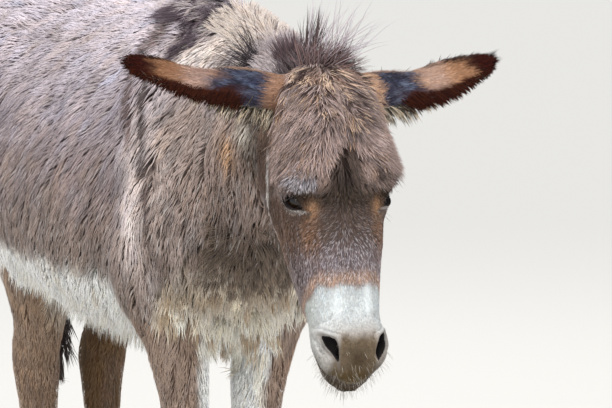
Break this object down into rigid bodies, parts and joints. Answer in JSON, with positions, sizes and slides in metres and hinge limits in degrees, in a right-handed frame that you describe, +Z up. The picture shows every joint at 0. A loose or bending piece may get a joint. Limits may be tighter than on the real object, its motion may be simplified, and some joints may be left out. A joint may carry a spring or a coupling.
{
  "type": "donkey",
  "caption": "Standing donkey with a shaggy mouse-brown coat, pale muzzle and belly, dark mane and shoulder cross, lowered head and ears held out sideways.",
  "frame": {"origin": "middle of the model's bounding box in X and Y, on the floor under the hooves", "axes": "+Z up, the head towards -Y and the tail towards +Y, the animal's left side towards +X"},
  "size_m": [0.585, 1.554, 1.151],
  "materials": {
    "coat": "long matt taupe-brown hair, cream below",
    "leg": "short matt brown hair",
    "mane": "long dark purplish-brown hair",
    "ear": "short rust-brown hair, dark at the tip and edge",
    "hoof": "worn dark horn, satin",
    "eye": "wet dark brown eye"
  },
  "bodies": {
    "root": {"head": "coat", "neck": "coat", "trunk": "coat", "mane": "mane", "tail_dock": "coat", "tail_tuft": "mane", "ear_right": "ear", "eye_right": "eye", "foreleg_right_upper": "coat", "foreleg_right_lower": "leg", "hindleg_right_upper": "coat", "hindleg_right_lower": "leg", "hoof_fore_right": "hoof", "hoof_hind_right": "hoof", "ear_left": "ear", "eye_left": "eye", "foreleg_left_upper": "coat", "foreleg_left_lower": "leg", "hindleg_left_upper": "coat", "hindleg_left_lower": "leg", "hoof_fore_left": "hoof", "hoof_hind_left": "hoof"}
  },
  "joints": []
}
